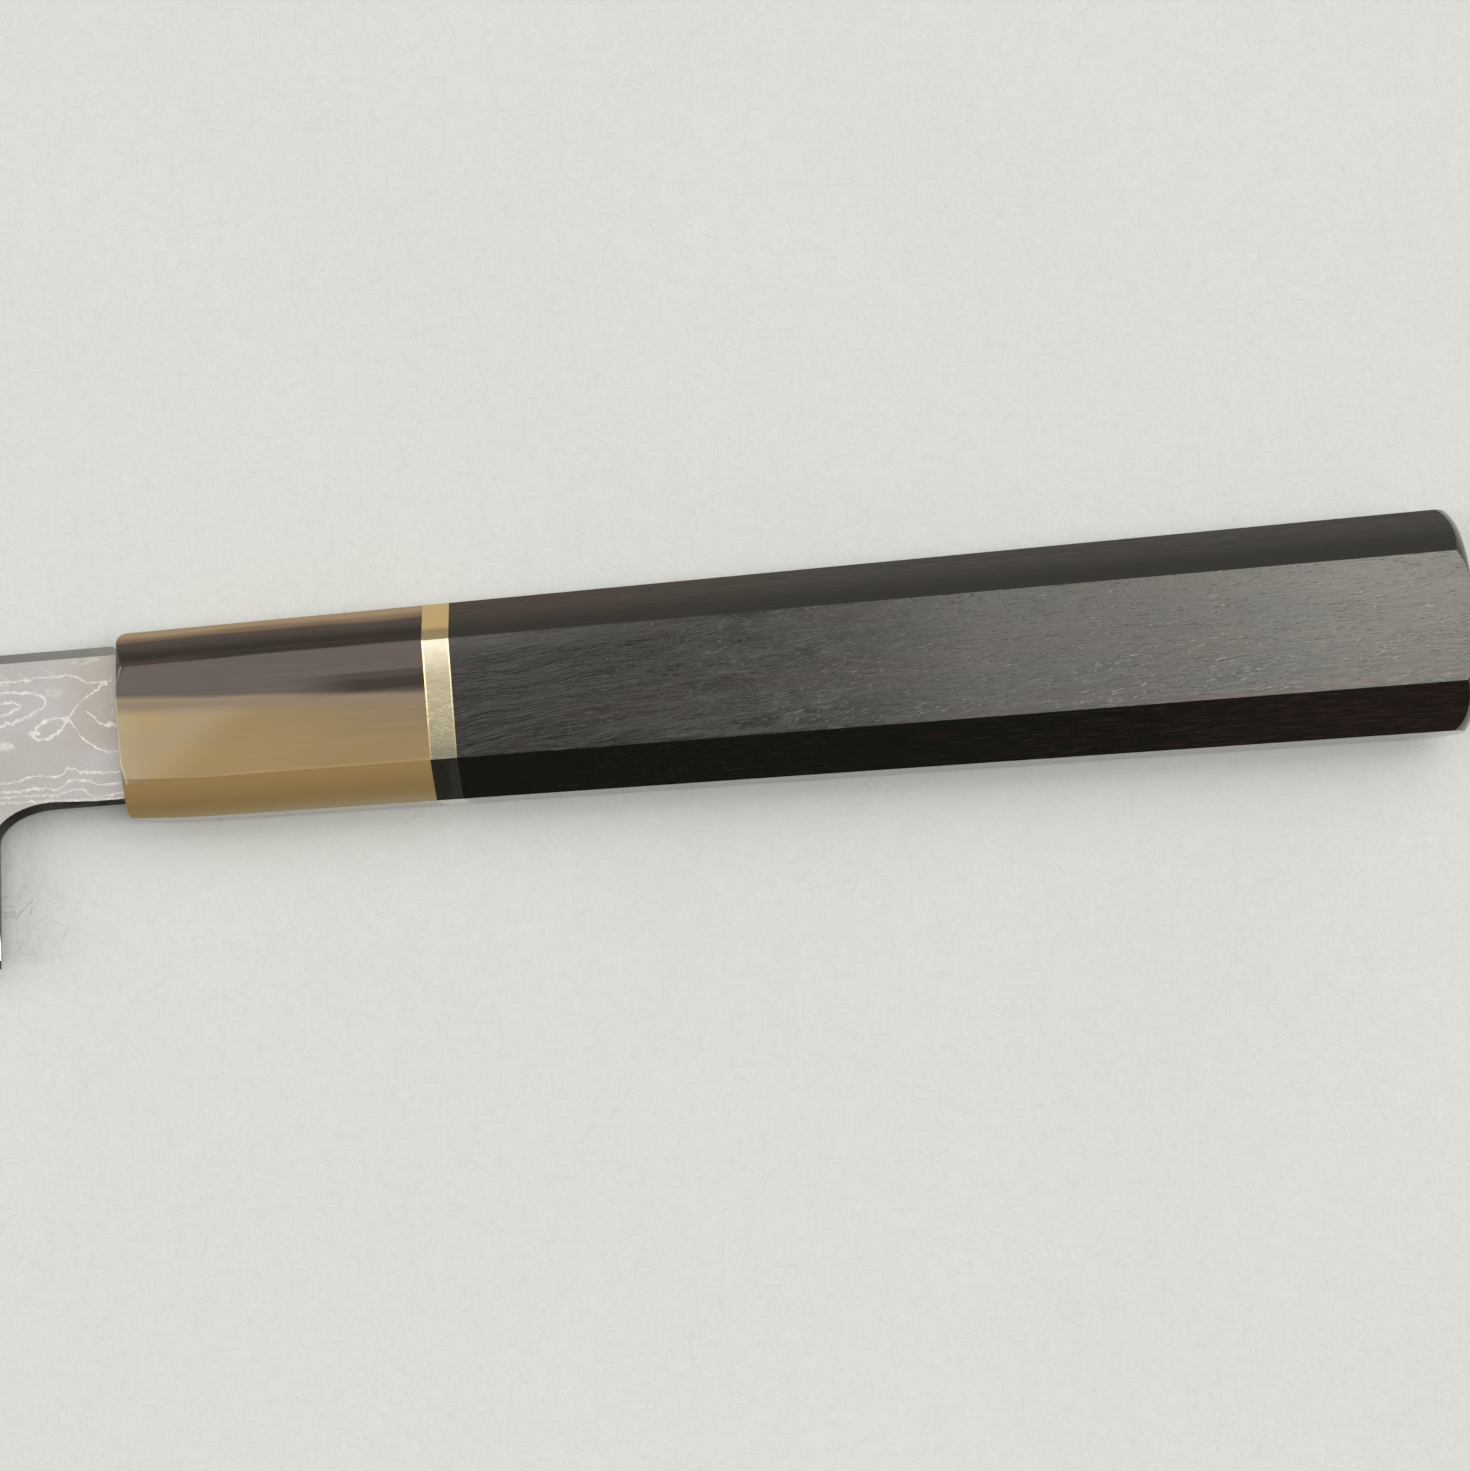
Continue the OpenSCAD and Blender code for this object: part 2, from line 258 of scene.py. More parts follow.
# Bright knots of the pattern there: centre and radii
NECK_KNOTS = (
    ((-6.5, 1.6), (0.4, 0.35)),
    ((-10, 0.4), (0.65, 0.3)),
    ((-2, 0.75), (0.45, 0.3)),
    ((-2.3, 5.15), (0.35, 0.25)),
    ((-13.2, -0.75), (0.9, 0.45)),
)
# The drawn pattern starts here along X, over a soft length, and ends in a broken, shaky line across the neck
NECK_PATTERN_AT = -15.5
NECK_PATTERN_SOFT = 2
NECK_END = -1.45
NECK_END_REACH = (-1.5, 6.5, 0.5)
NECK_END_SHAKE = 1.5
NECK_END_BREAKS = (0.45, 0.6)
# Half widths of lines and closed lines, softness of a line's ends and of a knot, and how far all shake
LINE_HALF = 0.17
OVAL_HALF = 0.2
LINE_SOFT = 0.2
KNOT_SOFT = 0.15
LINE_SHAKE = 1.1
# Faint lines between the drawn ones, stronger towards the spine
FAINT_GRAIN = ((0.17, 0.40, 0.3), (1.5, 2.2, 0))
FAINT_LINES = 4
FAINT_HALF = 0.10
FAINT_LEVEL = (1.5, 5, 0.05, 0.35)


def neck_pattern(n, place):
    """The drawn part of the pattern: its lines, ovals and knots, all a little shaky."""
    shake = n.noise(place, scale=1.7, detail=5, roughness=0.75)
    shift = n.swing(shake, LINE_SHAKE)
    x, y, _ = n.parts(place)
    y = n.math("ADD", y, shift)
    shaken = n.add("ShaderNodeCombineXYZ", {"X": n.math("SUBTRACT", x, shift), "Y": y})
    masks = []
    for stops in NECK_LINES:
        drawn = n.stroke(n.math("SUBTRACT", y, n.curve(x, stops)), LINE_HALF)
        reach = n.window(x, stops[0][0] - LINE_SOFT, stops[-1][0] + LINE_SOFT, LINE_SOFT)
        masks.append(n.math("MULTIPLY", drawn, reach))
    for centre, radii, turn in NECK_OVALS:
        masks.append(n.stroke(n.oval_offset(shaken, centre, radii, turn), OVAL_HALF))
    for centre, radii in NECK_KNOTS:
        masks.append(n.step(n.oval_offset(shaken, centre, radii), -KNOT_SOFT, KNOT_SOFT, 1, 0))
    end = n.math("ADD", x, n.math("MULTIPLY", shift, NECK_END_SHAKE))
    end = n.stroke(n.math("SUBTRACT", end, NECK_END), LINE_HALF)
    broken = n.math("MULTIPLY", n.window(y, *NECK_END_REACH), n.step(shake, *NECK_END_BREAKS))
    masks.append(n.math("MULTIPLY", end, broken))
    faint = n.noise(n.stretched(place, *FAINT_GRAIN), detail=2, roughness=0.5)
    faint = n.math("FRACT", n.math("MULTIPLY", faint, FAINT_LINES))
    faint = n.stroke(n.math("SUBTRACT", faint, 0.5), FAINT_HALF)
    masks.append(n.math("MULTIPLY", faint, n.step(y, *FAINT_LEVEL)))
    return n.most(masks)


# Number of the layer line along Y, from the edge to the spine, and what waves and ripple add to it at most
LAYERS = ((-26, 17), (-16, 10.5), (-7, 0), (-4.3, 4), (-1, 4.5), (3.5, 5), (6.2, 4), (9, 2.5))
LAYER_WAVES = 9.0
LAYER_WAVE_GRAIN = ((0.075, 0.26, 1), (3.1, 0.4, 0))
LAYER_RIPPLE = 1.6
LAYER_RIPPLE_GRAIN = ((0.28, 0.5, 1), (0.7, 5.2, 0))
# How far from halfway between two numbers a line starts and is full
LAYER_LINE_FADE = (0.38, 0.47)


def layer_pattern(n, x, y):
    """Lines of the layered billet along the blade: level lines of stretched noise over the ground faces."""
    along = n.add("ShaderNodeCombineXYZ", {"X": x, "Y": y})
    waves = n.noise(n.stretched(along, *LAYER_WAVE_GRAIN), detail=1.6, roughness=0.42)
    ripple = n.noise(n.stretched(along, *LAYER_RIPPLE_GRAIN), detail=2.0)
    field = n.math("ADD", n.curve(y, LAYERS), n.math("MULTIPLY", waves, LAYER_WAVES))
    field = n.math("ADD", field, n.math("MULTIPLY", ripple, LAYER_RIPPLE))
    ridge = n.math("ABSOLUTE", n.math("SUBTRACT", n.math("FRACT", field), 0.5))
    return n.step(ridge, *LAYER_LINE_FADE)


# Etched steel: two tones of its ground and a warmer one near the ferrule, its lines and its grit
ETCHED = (0.300, 0.283, 0.265, 1)
ETCHED_PALE = (0.326, 0.308, 0.292, 1)
ETCHED_WARM = (0.285, 0.258, 0.222, 1)
LAYER_LINE = (0.44, 0.41, 0.385, 1)
ETCH_GRIT = (0.18, 0.165, 0.155, 1)
# Grains of its clouds and its wear
ETCH_CLOUD_GRAIN = (0.10, 0.16, 0.16)
ETCH_WEAR_GRAIN = (1.2, 0.5, 0.5)
# Warm zone near the ferrule along X and Y, and its strength
ETCH_WARM_X = (-8, -4)
ETCH_WARM_Y = (-2.5, -0.5)
ETCH_WARMTH = 0.85
# How far wear lets a line show, and how far grit darkens the steel
LINE_SHOWS = (0.35, 0.65, 0.25, 0.95)
GRIT_SHOWS = (0.35, 0.75, 0, 0.16)
# Height of lines and grit, their depth, and roughness of the ground and the lines
LINE_HEIGHT = 0.5
GRIT_HEIGHT = 0.4
ETCH_DEPTH = 0.012 * MM
ETCH_ROUGH = (0.50, 0.42)
# Polished steel: two tones of its scratches, one of its clouds, and one near the ferrule
POLISHED = (0.305, 0.304, 0.293, 1)
POLISHED_PALE = (0.334, 0.330, 0.318, 1)
POLISHED_CLOUD = (0.299, 0.295, 0.280, 1)
POLISHED_WARM = (0.357, 0.349, 0.312, 1)
# Grain of its scratches, where clouds and the tone near the ferrule show, roughness and depth
POLISHED_GRAIN = (0.7, 16, 16)
POLISHED_CLOUDS = (0.35, 0.7)
POLISHED_WARM_X = (-10, -1, 0, 0.6)
POLISHED_ROUGH = (0.12, 0.15)
POLISHED_DEPTH = 0.0003 * MM
# Choil: a painted grey highlight at its bend, black below the neck, a painted pale reflection at the heel,
# and paler where it is rubbed
CHOIL_BEND_HIGHLIGHT = (0.105, 0.105, 0.097, 1)
CHOIL_NECK = (0.010, 0.009, 0.007, 1)
CHOIL_HEEL_REFLECTION = (0.18, 0.18, 0.17, 1)
CHOIL_RUBBED = (0.11, 0.11, 0.10, 1)
# Grain of its rubbed places, where the neck, the heel's painted reflection and they show, roughness and
# depth
CHOIL_GRAIN = (0.9, 0.9, 6)
CHOIL_NECK_X = (-11, -3)
CHOIL_HEEL_REFLECTION_Y = (-7.7, -9.8)
CHOIL_RUBS = (0.46, 0.70, 0, 0.5)
CHOIL_ROUGH = (0.28, 0.40)
CHOIL_DEPTH = 0.01 * MM
# Two tones of the core's grind, its grain, roughness and depth
CORE_DARK = (0.50, 0.50, 0.49, 1)
CORE_PALE = (0.66, 0.66, 0.65, 1)
CORE_GRAIN = (7, 0.25, 7)
CORE_ROUGH = (0.26, 0.38)
CORE_DEPTH = 0.006 * MM


def cladding_material(name, drawn_neck):
    """Etched layered steel. The left side's neck carries the drawn part of the pattern."""
    made, n, shader = material(name)
    place = n.place()
    x, y, _ = n.parts(place)
    line = layer_pattern(n, x, y)
    if drawn_neck:
        neck = n.step(x, NECK_PATTERN_AT - NECK_PATTERN_SOFT, NECK_PATTERN_AT)
        line = n.mix(neck, line, neck_pattern(n, place))
    cloud = n.noise(n.stretched(place, ETCH_CLOUD_GRAIN), detail=2)
    grit = n.noise(place, scale=7.0, detail=3, roughness=0.6)
    wear = n.noise(n.stretched(place, ETCH_WEAR_GRAIN), detail=3)
    near = n.math("MULTIPLY", n.step(x, *ETCH_WARM_X), n.step(y, *ETCH_WARM_Y))
    plain = n.mix(n.step(cloud, *TONES), ETCHED, ETCHED_PALE)
    plain = n.mix(n.math("MULTIPLY", near, ETCH_WARMTH), plain, ETCHED_WARM)
    bright = n.math("MULTIPLY", line, n.step(wear, *LINE_SHOWS))
    colour = n.mix(bright, plain, LAYER_LINE)
    colour = n.mix(n.step(grit, *GRIT_SHOWS), colour, ETCH_GRIT)
    height = n.math("ADD", n.math("MULTIPLY", line, LINE_HEIGHT), n.math("MULTIPLY", grit, GRIT_HEIGHT))
    dress(
        n,
        shader,
        Base_Color=colour,
        Metallic=1.0,
        Roughness=n.step(line, 0, 1, *ETCH_ROUGH),
        Normal=n.bump(height, ETCH_DEPTH),
    )
    return made


def polished_material():
    """Bevels along the spine and the end of the neck: fine lines along the blade under a polish."""
    made, n, shader = material("polished_steel")
    place = n.place()
    scratch = n.noise(n.stretched(place, POLISHED_GRAIN), detail=3, roughness=0.6)
    cloud = n.noise(place, scale=0.15, detail=2)
    x = n.parts(place)[0]
    colour = n.mix(scratch, POLISHED, POLISHED_PALE)
    colour = n.mix(n.step(cloud, *POLISHED_CLOUDS), colour, POLISHED_CLOUD)
    colour = n.mix(n.step(x, *POLISHED_WARM_X), colour, POLISHED_WARM)
    dress(
        n,
        shader,
        Base_Color=colour,
        Metallic=1.0,
        Roughness=n.step(scratch, *GLOSSES, *POLISHED_ROUGH),
        Normal=n.bump(scratch, POLISHED_DEPTH),
    )
    return made


def choil_material():
    """Rounded choil and the neck's underside: dark steel, rubbed pale in places, with a painted grey
    highlight at its bend and a painted pale reflection at the heel.
    """
    made, n, shader = material("dark_choil_steel")
    place = n.place()
    rub = n.noise(n.stretched(place, CHOIL_GRAIN), detail=4, roughness=0.65)
    x, y, _ = n.parts(place)
    # Painted light over the dark steel: a grey highlight at the bend and a pale reflection at the heel
    dark = n.mix(n.step(x, *CHOIL_NECK_X), CHOIL_BEND_HIGHLIGHT, CHOIL_NECK)
    dark = n.mix(n.step(y, *CHOIL_HEEL_REFLECTION_Y), dark, CHOIL_HEEL_REFLECTION)
    colour = n.mix(n.step(rub, *CHOIL_RUBS), dark, CHOIL_RUBBED)
    dress(
        n,
        shader,
        Base_Color=colour,
        Metallic=1.0,
        Roughness=n.step(rub, *GLOSSES, *CHOIL_ROUGH),
        Normal=n.bump(rub, CHOIL_DEPTH),
    )
    return made


def core_material():
    """The hard core below the cladding: grind lines across the blade."""
    made, n, shader = material("ground_core_steel")
    place = n.place()
    grind = n.noise(n.stretched(place, CORE_GRAIN), detail=3, roughness=0.6)
    colour = n.mix(grind, CORE_DARK, CORE_PALE)
    dress(
        n,
        shader,
        Base_Color=colour,
        Metallic=1.0,
        Roughness=n.step(grind, *GLOSSES, *CORE_ROUGH),
        Normal=n.bump(grind, CORE_DEPTH),
    )
    return made


# A face whose normal has more Z than this is a ground one. The choil's faces lie behind one X, between two Y
FLAT_NORMAL = 0.9915
CHOIL_BEHIND = -16.5 * MM
CHOIL_BELOW = -6 * MM
CHOIL_ABOVE = -20 * MM


def dress_blade(node, flat, bevel, choil):
    """Gives the ground faces one finish, the choil a dark one and every other bevel and end a polish."""
    node.data.materials.clear()
    for finish in (flat, bevel, choil):
        node.data.materials.append(finish)
    for polygon in node.data.polygons:
        at = polygon.center
        if abs(polygon.normal.z) > FLAT_NORMAL:
            polygon.material_index = 0
        elif at.x > CHOIL_BEHIND and CHOIL_ABOVE < at.y < CHOIL_BELOW:
            polygon.material_index = 2
        else:
            polygon.material_index = 1


# Slopes along X: of the colour bands beside the spine, on horn and ebony, and of the smoke's border
BAND_SLOPE = 0.0125
BORDER_SLOPE = -0.055
# Colours along Y: on the spine side's bevel, and on the edge side's bevel
SPINE_SIDE_HORN = (
    (5.95, (0.052, 0.030, 0.020)),
    (6.35, (0.036, 0.022, 0.016)),
    (6.75, (0.008, 0.004, 0.002)),
    (7.1, (0.012, 0.006, 0.004)),
    (7.45, (0.026, 0.016, 0.012)),
    (8.1, (0.052, 0.037, 0.034)),
    (8.5, (0.070, 0.045, 0.034)),
    (8.9, (0.180, 0.117, 0.070)),
    (9.45, (0.320, 0.228, 0.135)),
)
EDGE_SIDE_HORN = (
    (-9.9, (0.300, 0.235, 0.135)),
    (-9.3, (0.275, 0.190, 0.085)),
    (-8.6, (0.262, 0.172, 0.068)),
    (-6.4, (0.345, 0.228, 0.088)),
)
# Pairs of tones, mixed by noise: the honey's pale and deep parts, the deep part near the ring, and the smoke
HORN_PALE = ((0.350, 0.250, 0.122, 1), (0.320, 0.242, 0.136, 1))
HORN_DEEP = ((0.283, 0.194, 0.078, 1), (0.263, 0.176, 0.072, 1))
HORN_RINGWARD = ((0.262, 0.180, 0.080, 1), (0.212, 0.152, 0.084, 1))
HORN_SMOKE = ((0.078, 0.062, 0.056, 1), (0.092, 0.074, 0.068, 1))
# Single tones: fibres, front end, the smoke's border, the dark streak, and a dark line inside the bevel
HORN_FIBRE = (0.34, 0.245, 0.125, 1)
HORN_FRONT = (0.37, 0.305, 0.185, 1)
HORN_BORDER = (0.215, 0.160, 0.110, 1)
HORN_STREAK = (0.013, 0.006, 0.004, 1)
HORN_INNER = (0.010, 0.006, 0.004, 1)
# The wide face ends between these Y towards the edge, and between these heights of the bands at the spine
HORN_TO_EDGE = (-5.7, -6.3)
HORN_TO_SPINE = (5.9, 6.1)
# Grains of the slow drift, the fibres, the threads and the clouds
HORN_DRIFT_GRAIN = ((0.05, 0.22, 0.22), (2, 0, 1))
HORN_FIBRE_GRAIN = (0.09, 1.5, 1.5)
HORN_THREAD_GRAIN = ((0.06, 3.4, 3.4), (4, 0, 0))
HORN_CLOUD_GRAIN = ((0.07, 0.14, 0.14), (7, 3, 0))
# How far drift and fibres move the bands, and threads the spine side's ones
HORN_DRIFTS = 0.9
HORN_FRAYS = 0.35
HORN_THREADS = 0.7
# The honey deepens along X, where a lean along Y tilts the border, and turns ringward over a longer reach
DEEP_X = (8, 15)
DEEP_LEAN = 1.25
RINGWARD_X = (8, 31)
RINGWARD_Y = (-5, 0)
# How far fibres and the pale front end show
FIBRE_SHOWS = (0.45, 0.8, 0, 0.2)
FRONT_X = (0, 3.5, 0.6, 0)
# The smoke's border and where the smoke is full, across the border's line
BORDER_BAND = (0.9, 3.2, 1.1)
SMOKE_FROM = (2.4, 3.05)
# Place and half width of the dark streak, and of a thin one beside it with its strength
STREAK = (1.85, 1.25)
THIN_STREAK = (2.85, 0.45)
THIN_STRENGTH = 0.6
# Both start along X at a ragged end
STREAK_X = (17, 26)
STREAK_RAGGED = 6
STREAK_STRENGTH = 0.95
# The dark line inside the bevel, across the bands and along X
INNER_BAND = (5.85, 6.6, 0.2)
INNER_X = (5, 12, 0, 0.85)
# Tint of the horn's gloss, its roughness and its unevenness
HORN_TINT = (0.86, 0.75, 0.60, 1)
HORN_ROUGH = (0.11, 0.17)
HORN_DEPTH = 0.003 * MM
# Painted highlight along the crease at the front end of the wide face: half width, colour, and its line as
# (y, x) stops
CREASE_HALF = 0.17
CREASE_HIGHLIGHT = (0.52, 0.46, 0.34, 1)
CREASE = ((-6.0, 0.62), (-4.9, 0.35), (-3.5, 0.14), (3.5, 0.12), (4.8, 0.38), (6.0, 0.8))
# Where it shows: along Z and Y, and its strength across the smoke's border
CREASE_Z = (7.6, 8.0)
CREASE_Y = (-6.3, 6.3, 0.4)
CREASE_LEVEL = (2.2, 3.2, 0.9, 0.45)


def horn_honey(n, place, x, y, fibre, wander, border):
    """Pale at the front, deeper towards the ring, and with colours of its own on the edge side's bevel."""
    cloud = n.noise(n.stretched(place, *HORN_CLOUD_GRAIN), detail=2, distortion=0.6)
    pale = n.mix(n.step(cloud, *TONES), *HORN_PALE)
    deep = n.mix(n.step(cloud, *TONES), *HORN_DEEP)
    ringward = n.mix(n.step(y, *RINGWARD_Y), *HORN_RINGWARD)
    deep = n.mix(n.step(x, *RINGWARD_X), deep, ringward)
    lean = n.math("ADD", n.math("MULTIPLY", y, DEEP_LEAN), wander)
    honey = n.mix(n.step(n.math("SUBTRACT", x, lean), *DEEP_X), pale, deep)
    honey = n.mix(n.step(fibre, *FIBRE_SHOWS), honey, HORN_FIBRE)
    honey = n.mix(n.step(x, *FRONT_X), honey, HORN_FRONT)
    honey = n.mix(n.window(border, *BORDER_BAND), honey, HORN_BORDER)
    return n.mix(n.step(y, *HORN_TO_EDGE), honey, n.ramp(n.math("ADD", y, wander), EDGE_SIDE_HORN))


def horn_streak(n, x, band, wander):
    """Mask of the dark streak and the thin one beside it, from their ragged end to the ring."""
    streak = n.stroke(n.math("SUBTRACT", band, STREAK[0]), STREAK[1])
    thin = n.stroke(n.math("SUBTRACT", band, THIN_STREAK[0]), THIN_STREAK[1])
    streak = n.math("MAXIMUM", streak, n.math("MULTIPLY", thin, THIN_STRENGTH))
    ragged = n.math("ADD", x, n.math("MULTIPLY", wander, STREAK_RAGGED))
    return n.math("MULTIPLY", streak, n.step(ragged, *STREAK_X))


def horn_crease_highlight(n, x, y, z, border):
    """Mask of the painted highlight along the crease at the front end of the wide face."""
    crease = n.stroke(n.math("SUBTRACT", x, n.curve(y, CREASE)), CREASE_HALF)
    shown = n.math("MULTIPLY", n.step(z, *CREASE_Z), n.window(y, *CREASE_Y))
    return n.math("MULTIPLY", n.math("MULTIPLY", crease, shown), n.step(border, *CREASE_LEVEL))


def horn_material():
    """Buffalo horn: honey below, smoky above, dark under the spine side and tan along it, all soft-edged."""
    made, n, shader = material("polished_horn")
    place = n.place()
    x, y, z = n.parts(place)
    drift = n.noise(n.stretched(place, *HORN_DRIFT_GRAIN), detail=3, roughness=0.55)
    fibre = n.noise(n.stretched(place, HORN_FIBRE_GRAIN), detail=2, roughness=0.5)
    thread = n.noise(n.stretched(place, *HORN_THREAD_GRAIN), detail=3, roughness=0.6)
    wander = n.math("ADD", n.swing(drift, HORN_DRIFTS), n.swing(fibre, HORN_FRAYS))
    band = n.math("ADD", n.math("SUBTRACT", y, n.math("MULTIPLY", x, BAND_SLOPE)), wander)
    border = n.math("ADD", n.math("SUBTRACT", y, n.math("MULTIPLY", x, BORDER_SLOPE)), wander)

    honey = horn_honey(n, place, x, y, fibre, wander, border)
    smoke = n.mix(n.step(fibre, *WIDE_TONES), *HORN_SMOKE)
    colour = n.mix(n.step(border, *SMOKE_FROM), honey, smoke)
    streak = n.math("MULTIPLY", horn_streak(n, x, band, wander), STREAK_STRENGTH)
    colour = n.mix(streak, colour, HORN_STREAK)
    spine_side = n.ramp(n.math("ADD", band, n.swing(thread, HORN_THREADS)), SPINE_SIDE_HORN)
    colour = n.mix(n.step(band, *HORN_TO_SPINE), colour, spine_side)
    inner = n.math("MULTIPLY", n.window(band, *INNER_BAND), n.step(x, *INNER_X))
    colour = n.mix(inner, colour, HORN_INNER)
    # Painted highlight along the crease at the front end
    colour = n.mix(horn_crease_highlight(n, x, y, z, border), colour, CREASE_HIGHLIGHT)
    dress(
        n,
        shader,
        Base_Color=colour,
        Roughness=n.step(fibre, *GLOSSES, *HORN_ROUGH),
        Specular_IOR_Level=0.39,
        Specular_Tint=HORN_TINT,
        Normal=n.bump(fibre, HORN_DEPTH),
    )
    return made


# Brass colours along Y on the wide face, and on the bevels beside it: the brass's own colour, lighter and
# darker band by band as painted reflection
WIDE_BRASS_PAINTED_REFLECTION = (
    (-6.1, (0.67, 0.61, 0.45)),
    (-3.7, (0.66, 0.58, 0.38)),
    (0.0, (0.40, 0.345, 0.23)),
    (1.9, (0.29, 0.25, 0.17)),
    (3.3, (0.34, 0.295, 0.215)),
    (3.8, (0.365, 0.32, 0.235)),
    (4.8, (0.42, 0.365, 0.275)),
    (5.8, (0.47, 0.41, 0.315)),
)
SPINE_SIDE_BRASS_PAINTED_REFLECTION = (
    (6.3, (0.42, 0.33, 0.20)),
    (7.2, (0.40, 0.29, 0.16)),
    (7.7, (0.74, 0.50, 0.23)),
    (9.9, (0.70, 0.51, 0.26)),
)
EDGE_SIDE_BRASS_PAINTED_REFLECTION = (
    (-9.9, (0.92, 0.89, 0.68)),
    (-9.0, (0.81, 0.79, 0.60)),
    (-6.6, (0.77, 0.75, 0.56)),
    (-6.2, (0.88, 0.85, 0.64)),
)
# The wide face ends between these Y, towards the spine and the edge
BRASS_TO_SPINE = (6.15, 6.35)
BRASS_TO_EDGE = (-6.1, -6.3)
# Smudges, the painted highlight band near the grip on the edge side's bevel, and the painted highlights
# along the ring's edges with their X
BRASS_SMUDGE = (0.33, 0.29, 0.19, 1)
BRASS_BAND_HIGHLIGHT = (1.0, 0.98, 0.80, 1)
BRASS_EDGE_HIGHLIGHT = (0.99, 0.80, 0.40, 1)
BRASS_EDGES = (32.27, 34.93)
# How far smudges show by their noise and along Y, height of smudges and scratches, depth and roughness
SMUDGES = (0.35, 0.7)
SMUDGE_Y = (3.3, 3.9, 0.65, 0.1)
SMUDGE_HEIGHT = 0.6
SCRATCH_GRAIN = (5, 1.5, 1.5)
SCRATCH_HEIGHT = 0.15
BRASS_DEPTH = 0.003 * MM
BRASS_ROUGH = (0.03, 0.08)
# Place and strength of the painted highlight band, and the half widths of the painted edge highlights, their
# reach and strengths
HIGHLIGHT_BAND_Y = (-6.2, -6.5)
HIGHLIGHT_BAND_X = (33.8, 34.2)
HIGHLIGHT_BAND_STRENGTH = 0.6
EDGE_HALVES = (0.13, 0.11)
EDGE_Y = (-6.2, 6.4, 0.3)
BACK_EDGE = 0.6
EDGE_STRENGTH = 0.85


def brass_material():
    """Pale brass, hand polished, with smudges and fine scratches; its colour carries painted reflections, a
    painted highlight band and painted highlights along its edges.
    """
    made, n, shader = material("pale_brass")
    place = n.place()
    x, y, _ = n.parts(place)
    smudge = n.noise(place, scale=0.9, detail=5, roughness=0.68)
    fine = n.noise(n.stretched(place, SCRATCH_GRAIN), detail=3)
    # The brass's reflectance changes across Y to paint the light and dark bands of its reflections
    colour = n.mix(n.step(y, *BRASS_TO_SPINE), n.ramp(y, WIDE_BRASS_PAINTED_REFLECTION), n.ramp(y, SPINE_SIDE_BRASS_PAINTED_REFLECTION))
    colour = n.mix(n.step(y, *BRASS_TO_EDGE), colour, n.ramp(y, EDGE_SIDE_BRASS_PAINTED_REFLECTION))
    soft = n.math("MULTIPLY", n.step(smudge, *SMUDGES), n.step(y, *SMUDGE_Y))
    colour = n.mix(soft, colour, BRASS_SMUDGE)
    # Painted highlight band on the edge side's bevel, near the grip
    band = n.math("MULTIPLY", n.step(y, *HIGHLIGHT_BAND_Y), n.step(x, *HIGHLIGHT_BAND_X))
    colour = n.mix(n.math("MULTIPLY", band, HIGHLIGHT_BAND_STRENGTH), colour, BRASS_BAND_HIGHLIGHT)
    # Painted highlights along the ring's front and back edges
    front = n.stroke(n.math("SUBTRACT", x, BRASS_EDGES[0]), EDGE_HALVES[0])
    back = n.stroke(n.math("SUBTRACT", x, BRASS_EDGES[1]), EDGE_HALVES[1])
    edge = n.math("MAXIMUM", front, n.math("MULTIPLY", back, BACK_EDGE))
    edge = n.math("MULTIPLY", edge, n.window(y, *EDGE_Y))
    edge = n.math("MULTIPLY", edge, EDGE_STRENGTH)
    colour = n.mix(edge, colour, BRASS_EDGE_HIGHLIGHT)
    height = n.math("MULTIPLY", smudge, SMUDGE_HEIGHT)
    height = n.math("ADD", height, n.math("MULTIPLY", fine, SCRATCH_HEIGHT))
    dress(
        n,
        shader,
        Base_Color=colour,
        Metallic=1.0,
        Roughness=n.step(smudge, *GLOSSES, *BRASS_ROUGH),
        Normal=n.bump(height, BRASS_DEPTH),
    )
    return made


# Climb of the ebony's grain along X, in millimetres, what waves add to it, and the wide face's half height
GRAIN_CLIMB = ((33, 0), (85, 5.0), (142, 7.4))
CLIMB_WAVE = 1.4
WIDE_FACE_GROWTH = 0.0048
WIDE_FACE_HALF = (6.0, 6.15)
# Depth of the grain along X, in metres
GRAIN_DEPTH = ((33, 5e-6), (44, 8e-6), (54, 15e-6), (69, 15e-6), (80, 6e-6), (108, 4.4e-6), (142, 4.4e-6))
# Share of slow waves in the grain, along X
WAVE_LEVEL = ((33, 2.5), (50, 3), (60, 5), (70, 4), (82, 2), (142, 2))
# Grains of the wood: what bends its lines, its fine lines, pores, pale flecks, patches, red streaks,
# threads and dashes of the bevels, rings of the end grain, slow waves and short cuts
CLIMB_GRAIN = ((0.10, 0.22, 0.22), (3, 8, 0))
FINE_GRAIN = (0.16, 2.6, 2.6)
PORE_GRAIN = ((0.40, 4.6, 4.6), (2, 7, 0))
FLECK_GRAIN = ((1.1, 2.6, 2.6), (9, 2, 4))
PATCH_GRAIN = ((0.08, 0.32, 0.32), (5, 1, 0))
RED_GRAIN = ((0.012, 0.42, 0.42), (0, 3, 0))
EBONY_THREAD_GRAIN = ((0.035, 1.9, 1.9), (6, 0, 3))
DASH_GRAIN = ((0.35, 3.6, 3.6), (2, 5, 1))
RING_GRAIN = ((0.02, 0.30, 0.9), (0, 2, 5))
SLOW_GRAIN = ((0.10, 0.45, 0.45), (1, 4, 0))
CUT_GRAIN = ((0.75, 5.5, 5.5), (4, 2, 6))
